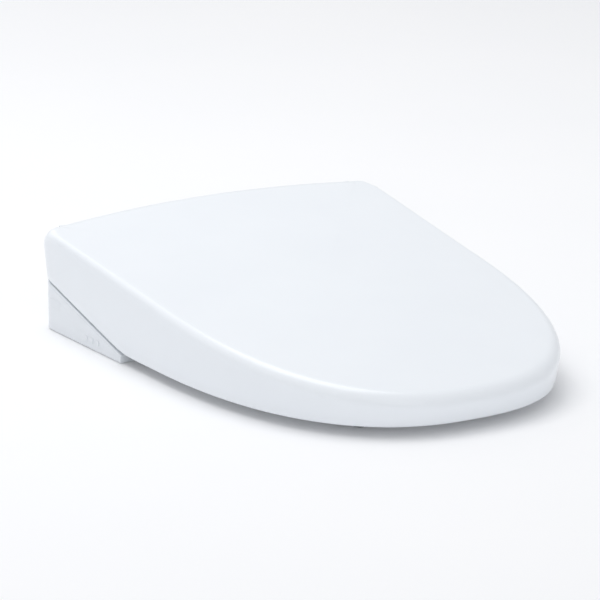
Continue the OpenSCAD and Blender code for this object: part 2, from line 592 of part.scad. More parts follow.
// ---- unit: deodorizer ----
deo_x = hw - 59;
module deodorizer_housing() color(dark) difference() {
  union() { bar_z(3.5, 18.5, deo_x, -42, 18); box([deo_x, -50, 5], [deo_x + 21.8, -34, 17]); }
  bar_z(5, 17, deo_x, -42, 16);
  box([deo_x + 10, -48.5, 6.5], [deo_x + 23, -35.5, 15.5]);
  bar_z(17, 20, deo_x, -42, 8);
}
module deodorizer_impeller() color(cream) difference() {
  union() {
    bar_z(6, 7.2, deo_x, -42, 13);
    bar_z(6, 15, deo_x, -42, 3.5);
    for (k = [0:11]) translate([deo_x, -42, 7]) rotate([0, 0, 30 * k]) box([8, -0.5, 0], [13, 0.5, 8]);
  }
  bar_z(5, 16, deo_x, -42, 1.5 + fit);
}
module deodorizer_filter() color(cream) {
  difference() {
    box([hw - 36, -51, 5.95 + fit], [hw - 6, -29, 17]);
    box([hw - 34, -49, 8], [hw - 9, -31, 20]);
  }
  box([hw - 7, -52, 6], [side_x(-40) - case_in, -28, 18]);
  box([side_x(-40) - case_in - 1, -46, 15.5], [side_x(-40) - case_in + 1, -34, 17]);
}
function side_x(y) = side_w(hw, flare / 2, y);

// ---- unit: electronics ----
module control_board() color([0.1, 0.35, 0.2]) {
  box([74, -35, 8], [92, -33.4, 70]);
  box([76, -33.5, 20], [90, -26, 40]);
  box([78, -33.5, 46], [88, -30, 60]);
}
module power_board() color([0.1, 0.35, 0.2]) {
  box([dome_x + 4, -16, 6], [dome_x + 60, -2, 7.6]);
  for (x = [6, 56]) bar_z(3.5, 6.5, dome_x + x, -9, 2);
  box([dome_x + 6, -14, 7], [dome_x + 22, -3, 28]);
}
module cable_gland() color(dark) difference() {
  union() {
    bar_y(back_y - 16, back_y - 1, gland_x, 18, 6);
    bar_y(back_y - 16, back_y - 12, gland_x, 18, 9);
  }
  bar_y(30, 60, gland_x, 18, 3.2);
}
module receiver_window() color([0.25, 0.1, 0.12]) difference() {
  intersection() {
    case_solid(case_in, -6, 1, case_front);
    box([-hw - 13, 8, 24], [-hw + 9, 32, 34]);
  }
  case_solid(case_in + 2, 20, -1, case_front);
}
module status_leds() color([0.3, 0.8, 0.4]) for (k = [0:2])
  translate([-84 + 8 * k, -60, dome_top(-60) - 6]) cylinder(r = 1.6, h = 5.4);
module night_light() color([0.95, 0.9, 0.7]) box([-72, dome_y, 14], [-56, dome_y + 1.6, 20]);
panel_z = 9.7;
button_y = [-46, -57, -68];
module button_panel() color(cream) difference() {
  intersection() {
    case_solid(case_in, 0, 1, case_front);
    box([-hw - 13, -80, 5.5], [-hw + 9, -34, 14]);
  }
  case_solid(case_in + 2.4, 20, -1, case_front);
  for (y = button_y) bar_x(-hw - 13, -hw + 17, y, panel_z, 3 + fit);
}
module side_button(y) {
  bar_x(-side_x(y) + case_in - 0.8, -side_x(y) + case_in + 6, y, panel_z, 3);
}
module button_power() color(cream) side_button(button_y[0]);
module button_rear() color(cream) side_button(button_y[1]);
module button_front() color(cream) side_button(button_y[2]);
module switch_board() color([0.1, 0.35, 0.2]) {
  box([-side_x(-57) + case_in + 8, -76, 3.5], [-side_x(-57) + case_in + 9.6, -38, 15]);
}
module drain_knob() color(cream) {
  bar_x(hw - 19, side_x(8) - case_in + 0.6, 8, 18, pin_r);
  bar_x(side_x(8) - case_in + 0.2, side_x(8) - case_in + 1.6, 8, 18, 8);
  box([side_x(8) - case_in + 1, 1.5, 16.5], [side_x(8) - case_in + 4, 14.5, 19.5]);
}
module release_button() color(cream) union() {
  box([hw - 27, -86, 5.5], [hw - 17, -76, 10]);
  box([hw - 19, -88, 5], [side_x(-81) - case_in + 0.4, -74, 10.5]);
}

base_plate();
bolt_adapters();
lower_case();
upper_cover();
case_screws();
case_feet();
lid_drive_unit();
seat_drive_unit();
nozzle_housing();
nozzle_bezel();
wand_motor();
wand_tube();
nozzle_tip();
wand_rack();
wand_pinion();
wand_hose();
heater_tank();
vacuum_breaker();
inlet_valve();
solenoid_coil();
water_inlet();
flow_sensor();
inlet_hose();
switching_valve();
valve_motor();
dryer_fan_housing();
dryer_impeller();
dryer_motor();
dryer_duct();
dryer_heater();
dryer_flap();
deodorizer_housing();
deodorizer_impeller();
deodorizer_filter();
control_board();
power_board();
cable_gland();
receiver_window();
status_leds();
night_light();
button_panel();
button_power();
button_rear();
button_front();
switch_board();
drain_knob();
release_button();
seat_top_shell();
seat_base_shell();
seat_heater_mat();
seat_feet();
seat_hinge_pins();
lid_shell();
lid_liner();
lid_bumpers();
lid_hinge_pins();
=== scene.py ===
import json
import math
import bmesh
import bpy
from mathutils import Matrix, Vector

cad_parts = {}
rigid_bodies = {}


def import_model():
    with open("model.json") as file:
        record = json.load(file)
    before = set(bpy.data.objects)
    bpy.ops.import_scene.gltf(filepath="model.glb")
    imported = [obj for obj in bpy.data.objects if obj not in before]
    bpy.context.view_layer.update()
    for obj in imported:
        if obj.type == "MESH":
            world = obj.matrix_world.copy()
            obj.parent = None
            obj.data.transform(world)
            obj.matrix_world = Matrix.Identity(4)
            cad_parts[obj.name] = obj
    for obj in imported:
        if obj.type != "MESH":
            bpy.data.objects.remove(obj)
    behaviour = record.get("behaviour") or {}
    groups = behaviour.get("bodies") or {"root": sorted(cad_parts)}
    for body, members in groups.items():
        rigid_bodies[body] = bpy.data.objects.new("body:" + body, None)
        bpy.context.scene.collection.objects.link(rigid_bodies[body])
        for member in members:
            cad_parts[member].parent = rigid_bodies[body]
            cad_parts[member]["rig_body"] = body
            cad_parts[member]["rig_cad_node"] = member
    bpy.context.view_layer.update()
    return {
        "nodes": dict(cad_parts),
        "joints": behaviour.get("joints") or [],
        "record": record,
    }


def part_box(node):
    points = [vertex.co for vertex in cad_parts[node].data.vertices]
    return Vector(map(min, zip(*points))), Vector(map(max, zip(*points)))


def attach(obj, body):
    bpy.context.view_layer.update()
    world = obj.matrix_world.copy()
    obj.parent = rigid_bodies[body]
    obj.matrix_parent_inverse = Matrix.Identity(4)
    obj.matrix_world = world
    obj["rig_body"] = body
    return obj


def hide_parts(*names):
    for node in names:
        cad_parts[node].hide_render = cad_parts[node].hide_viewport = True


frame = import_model()
mm = 0.001
print("stage 1: frame loaded,", len(frame["nodes"]), "nodes")


# small helpers, used by every piece below

def deselectAll():
    if bpy.context.mode != "OBJECT":
        bpy.ops.object.mode_set(mode="OBJECT")
    bpy.ops.object.select_all(action="DESELECT")


def makeActive(piece):
    deselectAll()
    piece.select_set(True)
    bpy.context.view_layer.objects.active = piece


def settle(piece, name):
    makeActive(piece)
    bpy.ops.object.transform_apply(location=True, rotation=True, scale=True)
    piece.name = name
    piece.data.name = name
    return piece


def outward(piece):
    makeActive(piece)
    bpy.ops.object.mode_set(mode="EDIT")
    bpy.ops.mesh.select_all(action="SELECT")
    bpy.ops.mesh.normals_make_consistent(inside=False)
    bpy.ops.object.mode_set(mode="OBJECT")


def smoothTo(piece, degrees):
    makeActive(piece)
    bpy.ops.object.shade_smooth_by_angle(angle=math.radians(degrees))


def block(low, high):
    deselectAll()
    middle = [(a + b) / 2 * mm for a, b in zip(low, high)]
    bpy.ops.mesh.primitive_cube_add(size=1, location=middle,
                                    scale=[(b - a) * mm for a, b in zip(low, high)])
    return settle(bpy.context.active_object, "block")


def rod(start, length, radius, axis="X", sides=48):
    deselectAll()
    turn = {"X": (0, math.pi / 2, 0), "Y": (math.pi / 2, 0, 0), "Z": (0, 0, 0)}[axis]
    step = {"X": (1, 0, 0), "Y": (0, 1, 0), "Z": (0, 0, 1)}[axis]
    middle = [(s + length / 2 * k) * mm for s, k in zip(start, step)]
    bpy.ops.mesh.primitive_cylinder_add(vertices=sides, radius=radius * mm, depth=length * mm,
                                        location=middle, rotation=turn)
    return settle(bpy.context.active_object, "rod")


def joinCut(piece, tools, operation):
    # boolean with each tool in turn; the tools are used up
    for tool in tools:
        makeActive(piece)
        change = piece.modifiers.new("change", "BOOLEAN")
        change.operation = operation
        change.solver = "EXACT"
        change.object = tool
        bpy.ops.object.modifier_apply(modifier=change.name)
        bpy.data.objects.remove(tool, do_unlink=True)
    return piece


def mirrored(tools):
    copies = []
    for tool in tools:
        twin = tool.copy()
        twin.data = tool.data.copy()
        bpy.context.scene.collection.objects.link(twin)
        twin.scale = (-1, 1, 1)
        settle(twin, tool.name + ".r")
        outward(twin)
        copies.append(twin)
    return tools + copies


def sweep(name, rings, caps=None):
    # extrudes one circle of edges from ring to ring; caps close both ends, else it closes on itself
    count = len(rings[0])
    deselectAll()
    bpy.ops.mesh.primitive_circle_add(vertices=count, radius=1)
    piece = bpy.context.active_object
    bpy.ops.object.mode_set(mode="EDIT")
    bpy.ops.mesh.select_mode(type="VERT")
    mesh = bmesh.from_edit_mesh(piece.data)
    spoke = mesh.verts.layers.int.new("spoke")
    mesh.verts.ensure_lookup_table()
    for i, corner in enumerate(mesh.verts):
        corner[spoke] = i
        corner.co = rings[0][i]
        corner.select = True
    mesh.select_flush(True)
    bmesh.update_edit_mesh(piece.data)
    following = rings[1:] if caps else rings[1:] + rings[:1]
    for ring in following:
        bpy.ops.mesh.extrude_edges_move()
        mesh = bmesh.from_edit_mesh(piece.data)
        spoke = mesh.verts.layers.int["spoke"]
        for corner in mesh.verts:
            if corner.select:
                corner.co = ring[corner[spoke]]
        bmesh.update_edit_mesh(piece.data)
    if caps:
        for ring, tip in ((rings[-1], caps[1]), (rings[0], caps[0])):
            bpy.ops.mesh.select_all(action="DESELECT")
            mesh = bmesh.from_edit_mesh(piece.data)
            rim = [e for e in mesh.edges if e.is_boundary]
            near = [e for e in rim if min((e.verts[0].co - Vector(p)).length for p in ring) < 1e-6]
            for edge in near:
                edge.select_set(True)
            bmesh.update_edit_mesh(piece.data)
            bpy.ops.mesh.extrude_edges_move()
            bpy.ops.mesh.merge(type="CENTER")
            mesh = bmesh.from_edit_mesh(piece.data)
            for corner in mesh.verts:
                if corner.select:
                    corner.co = tip
            bmesh.update_edit_mesh(piece.data)
    bpy.ops.mesh.select_all(action="SELECT")
    bpy.ops.mesh.remove_doubles(threshold=1e-7)
    bpy.ops.mesh.normals_make_consistent(inside=False)
    bpy.ops.object.mode_set(mode="OBJECT")
    return settle(piece, name)


# plan outlines, in millimetres, clockwise from the right-hand side

lidLowCorner, lidHighCorner = [[round(v / mm, 1) for v in corner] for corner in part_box("lid_shell")]
hinge = next(joint["pos_m"] for joint in frame["joints"] if joint["name"] == "lid_hinge")
hingeY, hingeZ = (round(v / mm, 1) for v in hinge[1:])
body = dict(halfWidth=187, flare=4.5, backY=lidHighCorner[1], frontY=lidLowCorner[1], widest=0.583,
            curve=2.45, cornerR=20, bow=8)
body["wideY"] = body["frontY"] + body["widest"] * (body["backY"] - body["frontY"])
seam = dict(height=57, gap=2, fall=15.7, skirt=lidLowCorner[2], blend=2.5, lift=0.6)
seam["slope"] = math.tan(math.radians(seam["fall"]))
plan = dict(front=96, side=12, corner=9, back=15)  # points along each stretch


def clamp(value):
    return min(1.0, max(0.0, value))


def sideWidth(width, flare, y):
    return width + flare * (y - body["wideY"]) / (body["backY"] - body["wideY"])


def frontShare(y):
    # 0 at the widest place and behind it, 1 at the front tip
    return clamp((body["wideY"] - y) / (body["wideY"] - body["frontY"]))


def lerp(a, b, t):
    return a + (b - a) * t


def outline(width, flare, frontY, backY, cornerR, bow):
    points = []
    power = 2 / body["curve"]
    edgeY = backY - bow
    cornerX = sideWidth(width, flare, edgeY - cornerR) - cornerR
    for i in range(plan["front"] + 1):
        angle = math.pi * i / plan["front"]
        c, s = math.cos(angle), abs(math.sin(angle))
        points.append((width * math.copysign(abs(c) ** power, c),
                       body["wideY"] + (frontY - body["wideY"]) * s ** power))
    rows = [lerp(body["wideY"], edgeY - cornerR, k / (plan["side"] + 1))
            for k in range(1, plan["side"] + 1)]
    points += [(-sideWidth(width, flare, y), y) for y in rows]
    for k in range(plan["corner"]):
        angle = math.pi - math.pi / 2 * k / (plan["corner"] - 1)
        points.append((-cornerX + cornerR * math.cos(angle), edgeY - cornerR + cornerR * math.sin(angle)))
    half = (plan["back"] + 1) // 2
    points += [(cornerX * k / half, backY - bow * (k / half) ** 2) for k in range(1 - half, half)]
    for k in range(plan["corner"]):
        angle = math.pi / 2 - math.pi / 2 * k / (plan["corner"] - 1)
        points.append((cornerX + cornerR * math.cos(angle), edgeY - cornerR + cornerR * math.sin(angle)))
    points += [(sideWidth(width, flare, y), y) for y in reversed(rows)]
    return [Vector(p) for p in points]


def inwardOf(points):
    # direction into the plan at each point
    count = len(points)
    steps = [(points[(i + 1) % count] - points[i - 1]).normalized() for i in range(count)]
    return [Vector((d.y, -d.x)) for d in steps]


# lid

lid = dict(backH=107, frontH=41, crown=7, wall=3, lip=2.4, leanBack=3, leanFront=5, leanRate=1.5,
           edgeR=6, edgeRLeast=2, edgeFront=6, edgeFrontRun=470, edgeBack=16, edgeBackFrom=40, edgeBackRun=32,
           panels=(0.06, 0.14, 0.28, 0.42, 0.56, 0.7, 0.8, 0.88, 0.94, 0.98),
           panelsInside=(0.94, 0.86, 0.7, 0.56, 0.42, 0.28, 0.12), edgeSteps=10, lipSteps=4,
           bead=((4.3, 0.2), (5, 0.9), (5.4, 2.2), (4.6, 5.5)), beadTop=9,  # inset and rise, inside the skirt
           midAhead=30, smooth=32, pinR=4, pinRoom=0.02,
           earIn=163, earOut=170, earR=9, earFront=7, earBack=2, earTop=3.7,
           notchIn=109, notchOut=162, notchFront=8, notchBack=26, notchLow=40, notchTop=13)
lid["slope"] = (lid["backH"] - lid["frontH"]) / (body["backY"] - body["frontY"])
lidEdge = outline(body["halfWidth"], body["flare"], body["frontY"],
                  body["backY"], body["cornerR"], body["bow"])
lidInward = inwardOf(lidEdge)
lidMid = Vector((0, body["wideY"] - lid["midAhead"]))  # where the top's rings close
through = 1  # how far a bore's cutter stands out at each end


def edgeRatio(x, y):
    # 0 in the middle of the plan, 1 on its edge
    w = sideWidth(body["halfWidth"], body["flare"], max(y, body["wideY"]))
    return (abs(x / w) ** body["curve"] + frontShare(y) ** body["curve"]) ** (1 / body["curve"])


def edgeHeight(y):
    return lid["backH"] - lid["slope"] * (body["backY"] - y)


def lidTop(x, y):
    return edgeHeight(y) + lid["crown"] * (1 - min(1, edgeRatio(x, y)) ** 2)


def lidLow(y):
    # the skirt follows the seam down and eases into the level part
    wedge = seam["height"] + seam["gap"] / 2 - seam["slope"] * (body["backY"] - y)
    ease = seam["blend"]
    high = max(wedge, seam["skirt"])
    return high + seam["lift"] * ease * math.log1p(math.exp(-abs(wedge - seam["skirt"]) / ease))


def edgeRadius(y):
    rear = clamp((y - body["backY"] + lid["edgeBackFrom"]) / lid["edgeBackRun"])
    return lid["edgeR"] + lid["edgeBack"] * rear + lid["edgeFront"] * clamp(-y / lid["edgeFrontRun"])


def draft(y):
    # how far the skirt leans in at its foot
    return lerp(lid["leanBack"], lid["leanFront"], frontShare(y) ** lid["leanRate"])


def wallAngle(y):
    # lean of the skirt's wall, so that it runs on from the rounded top edge without a kink
    r = edgeRadius(y)
    across = r - draft(y)
    down = edgeHeight(y) - r - lidLow(y) - lid["lip"]
    return math.degrees(math.atan2(down, across) - math.acos(min(1, r / math.hypot(across, down))))


def topEdgeRing(share):
    # rounded top edge, from the top round to the wall's lean
    loop = []
    for p, n in zip(lidEdge, lidInward):
        r = edgeRadius(p.y)
        turn = math.radians(90 - share * (90 + wallAngle(p.y)))
        q = p + n * r * (1 - math.cos(turn))
        loop.append((q.x * mm, q.y * mm, (lidTop(q.x, q.y) - r * (1 - math.sin(turn))) * mm))
    return loop


def lipRing(share):
    # rounded lower edge, from the wall's lean round to level
    loop = []
    for p, n in zip(lidEdge, lidInward):
        lean = math.radians(wallAngle(p.y))
        r = lid["lip"] / (1 - math.sin(lean))
        turn = lerp(lean, math.pi / 2, share)
        q = p + n * (draft(p.y) + r * (math.cos(lean) - math.cos(turn)))
        loop.append((q.x * mm, q.y * mm, (lidLow(p.y) + r * (1 - math.sin(turn))) * mm))
    return loop


def edgeRing(degrees, depth):
    loop = []
    c, s = math.cos(math.radians(degrees)), math.sin(math.radians(degrees))
    for p, n in zip(lidEdge, lidInward):
        r = max(edgeRadius(p.y) - depth, lid["edgeRLeast"])
        q = p + n * (depth + r * (1 - c))
        loop.append((q.x * mm, q.y * mm, (lidTop(q.x, q.y) - depth - r * (1 - s)) * mm))
    return loop


def skirtRing(inset, rise):
    loop = []
    for p, n in zip(lidEdge, lidInward):
        q = p + n * (draft(p.y) + inset)
        loop.append((q.x * mm, q.y * mm, (lidLow(p.y) + rise) * mm))
    return loop


def panelRing(scale, depth):
    loop = []
    for p, n in zip(lidEdge, lidInward):
        r = max(edgeRadius(p.y) - lid["wall"], lid["edgeRLeast"])
        q = lidMid + scale * (p + n * (lid["wall"] + r) - lidMid)
        loop.append((q.x * mm, q.y * mm, (lidTop(q.x, q.y) - depth) * mm))
    return loop


def lidTip(depth):
    return (lidMid.x * mm, lidMid.y * mm, (lidTop(*lidMid) - depth) * mm)


def buildLid():
    wall, steps, lipSteps = lid["wall"], lid["edgeSteps"], lid["lipSteps"]
    outer = [panelRing(scale, 0) for scale in lid["panels"]]
    outer += [topEdgeRing(k / steps) for k in range(steps + 1)]
    skirt = [lipRing(k / lipSteps) for k in range(lipSteps + 1)]
    skirt += [skirtRing(inset, rise) for inset, rise in lid["bead"]]
    skirt += [skirtRing(wall, lid["beadTop"])]
    inner = [edgeRing(degrees, wall) for degrees in (0, 22.5, 45, 67.5, 90)]
    inner += [panelRing(scale, wall) for scale in lid["panelsInside"]]
    shell = sweep("lidCover", outer + skirt + inner, [lidTip(0), lidTip(wall)])
    earLong = lid["earOut"] - lid["earIn"]
    ears = mirrored([rod((lid["earIn"], hingeY, hingeZ), earLong, lid["earR"]),
                     block((lid["earIn"], hingeY - lid["earFront"], hingeZ),
                           (lid["earOut"], hingeY + lid["earBack"], lid["backH"] - lid["earTop"]))])
    joinCut(shell, ears, "UNION")
    cuts = mirrored([block((lid["notchIn"], hingeY - lid["notchFront"], lid["notchLow"]),
                           (lid["notchOut"], hingeY + lid["notchBack"], hingeZ + lid["notchTop"])),
                     rod((lid["earIn"] - through, hingeY, hingeZ), earLong + 2 * through,
                         lid["pinR"] + lid["pinRoom"])])
    joinCut(shell, cuts, "DIFFERENCE")
    smoothTo(shell, lid["smooth"])
    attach(shell, "lid")
    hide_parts("lid_shell")
    return shell


lidCover = buildLid()
print("stage 2: lid cover,", len(lidCover.data.polygons), "faces")


# heated ring

ring = dict(height=34, rise=math.tan(math.radians(4)), edge=14, holeEdge=10, wall=3, footH=8, softFoot=0.8,
            dip=4, dipFrom=-150, dipRun=80, backY=-12, flare=1, cornerR=25, bow=0,
            gap=2.5, skirtSide=8.4, skirtFront=10.4, seamRoom=1.5,
            openW=220, openLen=275, openCurve=2.25, openWidest=0.56, frontRim=55,
            shares=(0.06, 0.5), smooth=32, cutLow=-5, cutHigh=120, cutBack=20,
            wingIn=104, wingSlant=4, wingDrop=6, sunk=1.2,
            bridgeY=-107, bridgeZ=32, bridgeX=70, bridgeCut=60,
            armIn=112, armOut=124, armR=10, armNose=(26, 2), armFoot=((-22, 60), (-22, 48), (-9, 47)))
ring["frontY"] = body["frontY"] + ring["skirtFront"] + ring["gap"]
ring["openFront"] = ring["frontY"] + ring["frontRim"]
ring["openBack"] = ring["openFront"] + ring["openLen"]
ring["openMid"] = ring["openFront"] + ring["openLen"] * ring["openWidest"]
ringEdge = outline(body["halfWidth"] - ring["skirtSide"] - ring["gap"], ring["flare"], ring["frontY"],
                   ring["backY"], ring["cornerR"], ring["bow"])
ringInward = inwardOf(ringEdge)


def holeOutline():
    # as many points as the ring's outer edge, so that the two join point to point
    points = []
    power = 2 / ring["openCurve"]
    rest = len(ringEdge) - plan["front"]
    for i in range(len(ringEdge)):
        t = i / plan["front"] if i <= plan["front"] else 1 + (i - plan["front"]) / rest
        c, s = math.cos(math.pi * t), math.sin(math.pi * t)
        far = ring["openFront"] if s >= 0 else ring["openBack"]
        points.append(Vector((ring["openW"] / 2 * math.copysign(abs(c) ** power, c),
                              ring["openMid"] + (far - ring["openMid"]) * abs(s) ** power)))
    return points


holeEdge = holeOutline()
holeInward = inwardOf(holeEdge)


def ringTop(y):
    return ring["height"] + ring["rise"] * (y - ring["frontY"])


def ringDip(y):
    # the seat's surface sinks towards the opening
    return ring["dip"] * clamp((ring["dipFrom"] - y) / ring["dipRun"])


def ringLow(y):
    return max(ring["footH"], seam["height"] + ring["seamRoom"] - seam["slope"] * (body["backY"] - y))


def sideRing(inset, share):
    loop = []
    for p, n in zip(ringEdge, ringInward):
        q = p + n * inset
        loop.append((q.x * mm, q.y * mm, lerp(ringLow(p.y), ringTop(q.y) - ring["edge"], share) * mm))
    return loop


def holeSide(inset, share):
    loop = []
    for p, n in zip(holeEdge, holeInward):
        q = p - n * inset
        high = ringTop(q.y) - ringDip(q.y) - ring["holeEdge"]
        loop.append((q.x * mm, q.y * mm, lerp(ringLow(p.y), high, share) * mm))
    return loop


def outRound(degrees, depth):
    r = ring["edge"] - depth
    c, s = math.cos(math.radians(degrees)), math.sin(math.radians(degrees))
    return [(q.x * mm, q.y * mm, (ringTop(q.y) - depth - r * (1 - s)) * mm)
            for q in (p + n * (depth + r * (1 - c)) for p, n in zip(ringEdge, ringInward))]


def holeRound(degrees, depth):
    r = ring["holeEdge"] - depth
    c, s = math.cos(math.radians(degrees)), math.sin(math.radians(degrees))
    return [(q.x * mm, q.y * mm, (ringTop(q.y) - ringDip(q.y) - depth - r * (1 - s)) * mm)
            for q in (p - n * (depth + r * (1 - c)) for p, n in zip(holeEdge, holeInward))]


def midRing(share, depth):
    loop = []
    for p, n, h, m in zip(ringEdge, ringInward, holeEdge, holeInward):
        q = (h - m * ring["holeEdge"]).lerp(p + n * ring["edge"], share)
        loop.append((q.x * mm, q.y * mm, (ringTop(q.y) - ringDip(q.y) * (1 - share) ** 2 - depth) * mm))
    return loop


def sidePlate(x0, x1, profile):
    # a flat side profile, filled and extruded across
    deselectAll()
    bpy.ops.mesh.primitive_circle_add(vertices=len(profile), radius=1, fill_type="NGON")
    plate = bpy.context.active_object
    for corner, (y, z) in zip(plate.data.vertices, profile):
        corner.co = (x0 * mm, y * mm, z * mm)
    bpy.ops.object.mode_set(mode="EDIT")
    bpy.ops.mesh.select_all(action="SELECT")
    bpy.ops.mesh.extrude_region_move(TRANSFORM_OT_translate={"value": ((x1 - x0) * mm, 0, 0)})
    bpy.ops.mesh.select_all(action="SELECT")
    bpy.ops.mesh.normals_make_consistent(inside=False)
    bpy.ops.object.mode_set(mode="OBJECT")
    return settle(plate, "plate")


def buildRing():
    wall = ring["wall"]
    foot = ring["softFoot"]
    rings = [holeSide(foot, 0)] + [holeSide(0, share) for share in ring["shares"]]
    rings += [holeRound(a, 0) for a in (0, 15, 30, 45, 60, 75, 90)]
    rings += [midRing(s, 0) for s in (0.15, 0.3, 0.45, 0.6, 0.75, 0.9)]
    rings += [outRound(a, 0) for a in (90, 78, 66, 54, 42, 30, 15, 0)]
    rings += [sideRing(0, share) for share in reversed(ring["shares"])]
    rings += [sideRing(foot, 0), sideRing(wall, 0)]
    rings += [outRound(a, wall) for a in (0, 30, 60, 90)]
    rings += [midRing(s, wall) for s in (0.67, 0.33)]
    rings += [holeRound(a, wall) for a in (90, 60, 30, 0)]
    rings += [holeSide(wall, 0)]
    shell = sweep("ringCover", rings)
    inX, bridgeY, bridgeZ, bridgeX = (ring[k] for k in ("wingIn", "bridgeY", "bridgeZ", "bridgeX"))
    low = ring["cutLow"]
    joinCut(shell, [block((-inX, bridgeY, low), (inX, ring["cutBack"], ring["cutHigh"])),
                    block((-bridgeX, bridgeY - ring["bridgeCut"], low), (bridgeX, 0, bridgeZ))],
            "DIFFERENCE")
    backY, edge, sunk = ring["backY"], ring["edge"], ring["sunk"]
    wallY = bridgeY - wall
    plates = [block((-inX - 1, wallY, bridgeZ), (inX + 1, bridgeY, ringTop(bridgeY) - sunk))]
    wing = [(wallY, ringLow(bridgeY)), (wallY, ringTop(bridgeY) - sunk),
            (backY - edge, ringTop(backY - edge) - sunk),
            (backY - ring["wingSlant"], ringTop(backY) - ring["wingDrop"]),
            (backY, ringTop(backY) - edge), (backY, ringLow(backY))]
    # the arm runs from the wing up to the hinge
    noseY, noseZ = ring["armNose"]
    arm = [(hingeY, hingeZ + ring["armR"]), (hingeY - noseY, hingeZ - noseZ), *ring["armFoot"],
           (hingeY, hingeZ - ring["armR"])]
    armIn, armLong = ring["armIn"], ring["armOut"] - ring["armIn"]
    plates += mirrored([sidePlate(inX, inX + wall, wing),
                        block((bridgeX, wallY, ringLow(wallY)), (inX + 1, bridgeY, bridgeZ + 1)),
                        sidePlate(armIn, ring["armOut"], arm),
                        rod((armIn, hingeY, hingeZ), armLong, ring["armR"])])
    joinCut(shell, plates, "UNION")
    bore = rod((armIn - through, hingeY, hingeZ), armLong + 2 * through, lid["pinR"] + lid["pinRoom"])
    joinCut(shell, mirrored([bore]), "DIFFERENCE")
    smoothTo(shell, ring["smooth"])
    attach(shell, "seat")
    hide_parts("seat_top_shell")
    return shell


ringCover = buildRing()
print("stage 3: heated ring,", len(ringCover.data.polygons), "faces")


# case parts keep their shape and get softened edges

softened = dict(upper_cover=0.9, lower_case=0.5, nozzle_bezel=0.4, nozzle_tip=0.2, deodorizer_filter=0.35,
                drain_knob=0.5, release_button=0.4, button_panel=0.15, button_power=0.35, button_rear=0.35,
                button_front=0.35, dryer_flap=0.25, heater_tank=1.2, dryer_fan_housing=0.8, seat_feet=0.8,
                base_plate=0.4, inlet_valve=1.0, cable_gland=0.5, water_inlet=0.5)  # bevel in mm
edgeLook = dict(segments=3, sharper=35, mergeWithin=2e-6, flatWithin=1, smooth=30)
bodyOf = {node: name for name, members in frame["record"]["behaviour"]["bodies"].items() for node in members}


def soften(node, width):
    source = frame["nodes"][node]
    deselectAll()
    piece = source.copy()
    piece.data = source.data.copy()
    piece.parent = None
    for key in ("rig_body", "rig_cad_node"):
        if key in piece:
            del piece[key]
    bpy.context.scene.collection.objects.link(piece)
    makeActive(piece)
    bpy.ops.object.mode_set(mode="EDIT")
    bpy.ops.mesh.select_all(action="SELECT")
    bpy.ops.mesh.remove_doubles(threshold=edgeLook["mergeWithin"])
    bpy.ops.mesh.dissolve_limited(angle_limit=math.radians(edgeLook["flatWithin"]))
    bpy.ops.mesh.normals_make_consistent(inside=False)
    bpy.ops.object.mode_set(mode="OBJECT")
    edge = piece.modifiers.new("edge", "BEVEL")
    edge.width = width * mm
    edge.segments = edgeLook["segments"]
    edge.limit_method = "ANGLE"
    edge.angle_limit = math.radians(edgeLook["sharper"])
    bpy.ops.object.modifier_apply(modifier=edge.name)
    settle(piece, node + "_soft")
    smoothTo(piece, edgeLook["smooth"])
    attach(piece, bodyOf[node])
    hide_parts(node)
    return piece


softPieces = {node: soften(node, width) for node, width in softened.items()}
print("stage 4: softened case parts,", len(softPieces))


# materials

def linear(hexText):
    # sRGB hex to linear colour
    channels = [int(hexText[i:i + 2], 16) / 255 for i in (1, 3, 5)]
    return [c / 12.92 if c <= 0.04045 else ((c + 0.055) / 1.055) ** 2.4 for c in channels] + [1.0]


def addNode(tree, kind, settings=None, links=None):
    # links: socket name or number -> a value, or (node, output)
    made = tree.nodes.new(kind)
    for key, value in (settings or {}).items():
        setattr(made, key, value)
    for key, value in (links or {}).items():
        socket = made.inputs[key]
        if isinstance(value, tuple) and isinstance(value[0], bpy.types.Node):
            tree.links.new(value[0].outputs[value[1]], socket)
        else:
            socket.default_value = value
    return made


def blank(name):
    made = bpy.data.materials.new(name)
    made.use_nodes = True
    tree = made.node_tree
    tree.nodes.clear()
    place = addNode(tree, "ShaderNodeTexCoord")
    return made, tree, (place, "Object")


def finishShader(tree, colour, rough, bump, **extra):
    links = {"Base Color": colour, "Roughness": rough, **extra}
    if bump is not None:
        links["Normal"] = (bump, "Normal")
    shader = addNode(tree, "ShaderNodeBsdfPrincipled", None, links)
    addNode(tree, "ShaderNodeOutputMaterial", None, {"Surface": (shader, "BSDF")})


def moulded(name, light, dark, rough, grain, depth, extra=None):
    # moulded plastic: tint drifts over 110 mm, gloss over 22 mm, and a fine skin (grain and depth in mm)
    made, tree, place = blank(name)
    drift = addNode(tree, "ShaderNodeTexNoise", None, {"Vector": place, "Scale": 9.0, "Detail": 3.0})
    tint = addNode(tree, "ShaderNodeMix", {"data_type": "RGBA"},
                   {0: (drift, "Fac"), 6: linear(light), 7: linear(dark)})
    wear = addNode(tree, "ShaderNodeTexNoise", None, {"Vector": place, "Scale": 45.0, "Detail": 4.0})
    gloss = addNode(tree, "ShaderNodeMapRange", None,
                    {"Value": (wear, "Fac"), "From Min": 0.3, "From Max": 0.7,
                     "To Min": rough[0], "To Max": rough[1]})
    skin = addNode(tree, "ShaderNodeTexNoise", None,
                   {"Vector": place, "Scale": 1 / (grain * mm), "Detail": 2.0})
    bump = addNode(tree, "ShaderNodeBump", None,
                   {"Height": (skin, "Fac"), "Strength": 0.25, "Distance": depth * mm})
    finishShader(tree, (tint, 2), (gloss, "Result"), bump, **(extra or {}))
    return made


